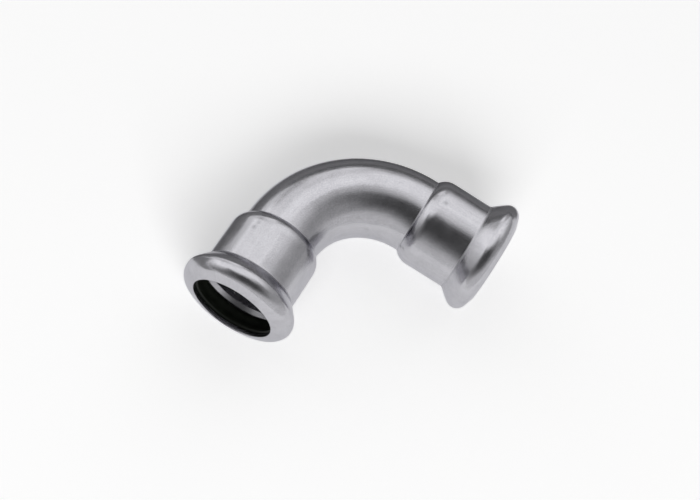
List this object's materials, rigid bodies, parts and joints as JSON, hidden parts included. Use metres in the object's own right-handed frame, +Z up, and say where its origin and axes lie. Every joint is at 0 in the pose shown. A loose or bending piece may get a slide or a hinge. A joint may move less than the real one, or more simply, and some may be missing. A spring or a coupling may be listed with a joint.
{
  "type": "press fit pipe elbow",
  "caption": "Right-angle pipe elbow of bent stainless tube, with a plain socket, a rolled bead and a rubber seal ring at each end, to be pressed onto pipe.",
  "frame": {"origin": "middle of the part's box, on the surface that the elbow lies on", "axes": "+Z up, +Y towards the outside of the bend, X across the two ports, with the left port at -X"},
  "size_m": [0.0926, 0.0454, 0.0317],
  "materials": {
    "stainless_steel": "satin, fine grained, as formed and pickled",
    "seal_rubber": "smooth black rubber with a soft sheen"
  },
  "bodies": {
    "root": {"elbow_body": "stainless_steel", "left_seal_ring": "seal_rubber", "right_seal_ring": "seal_rubber"}
  },
  "joints": []
}
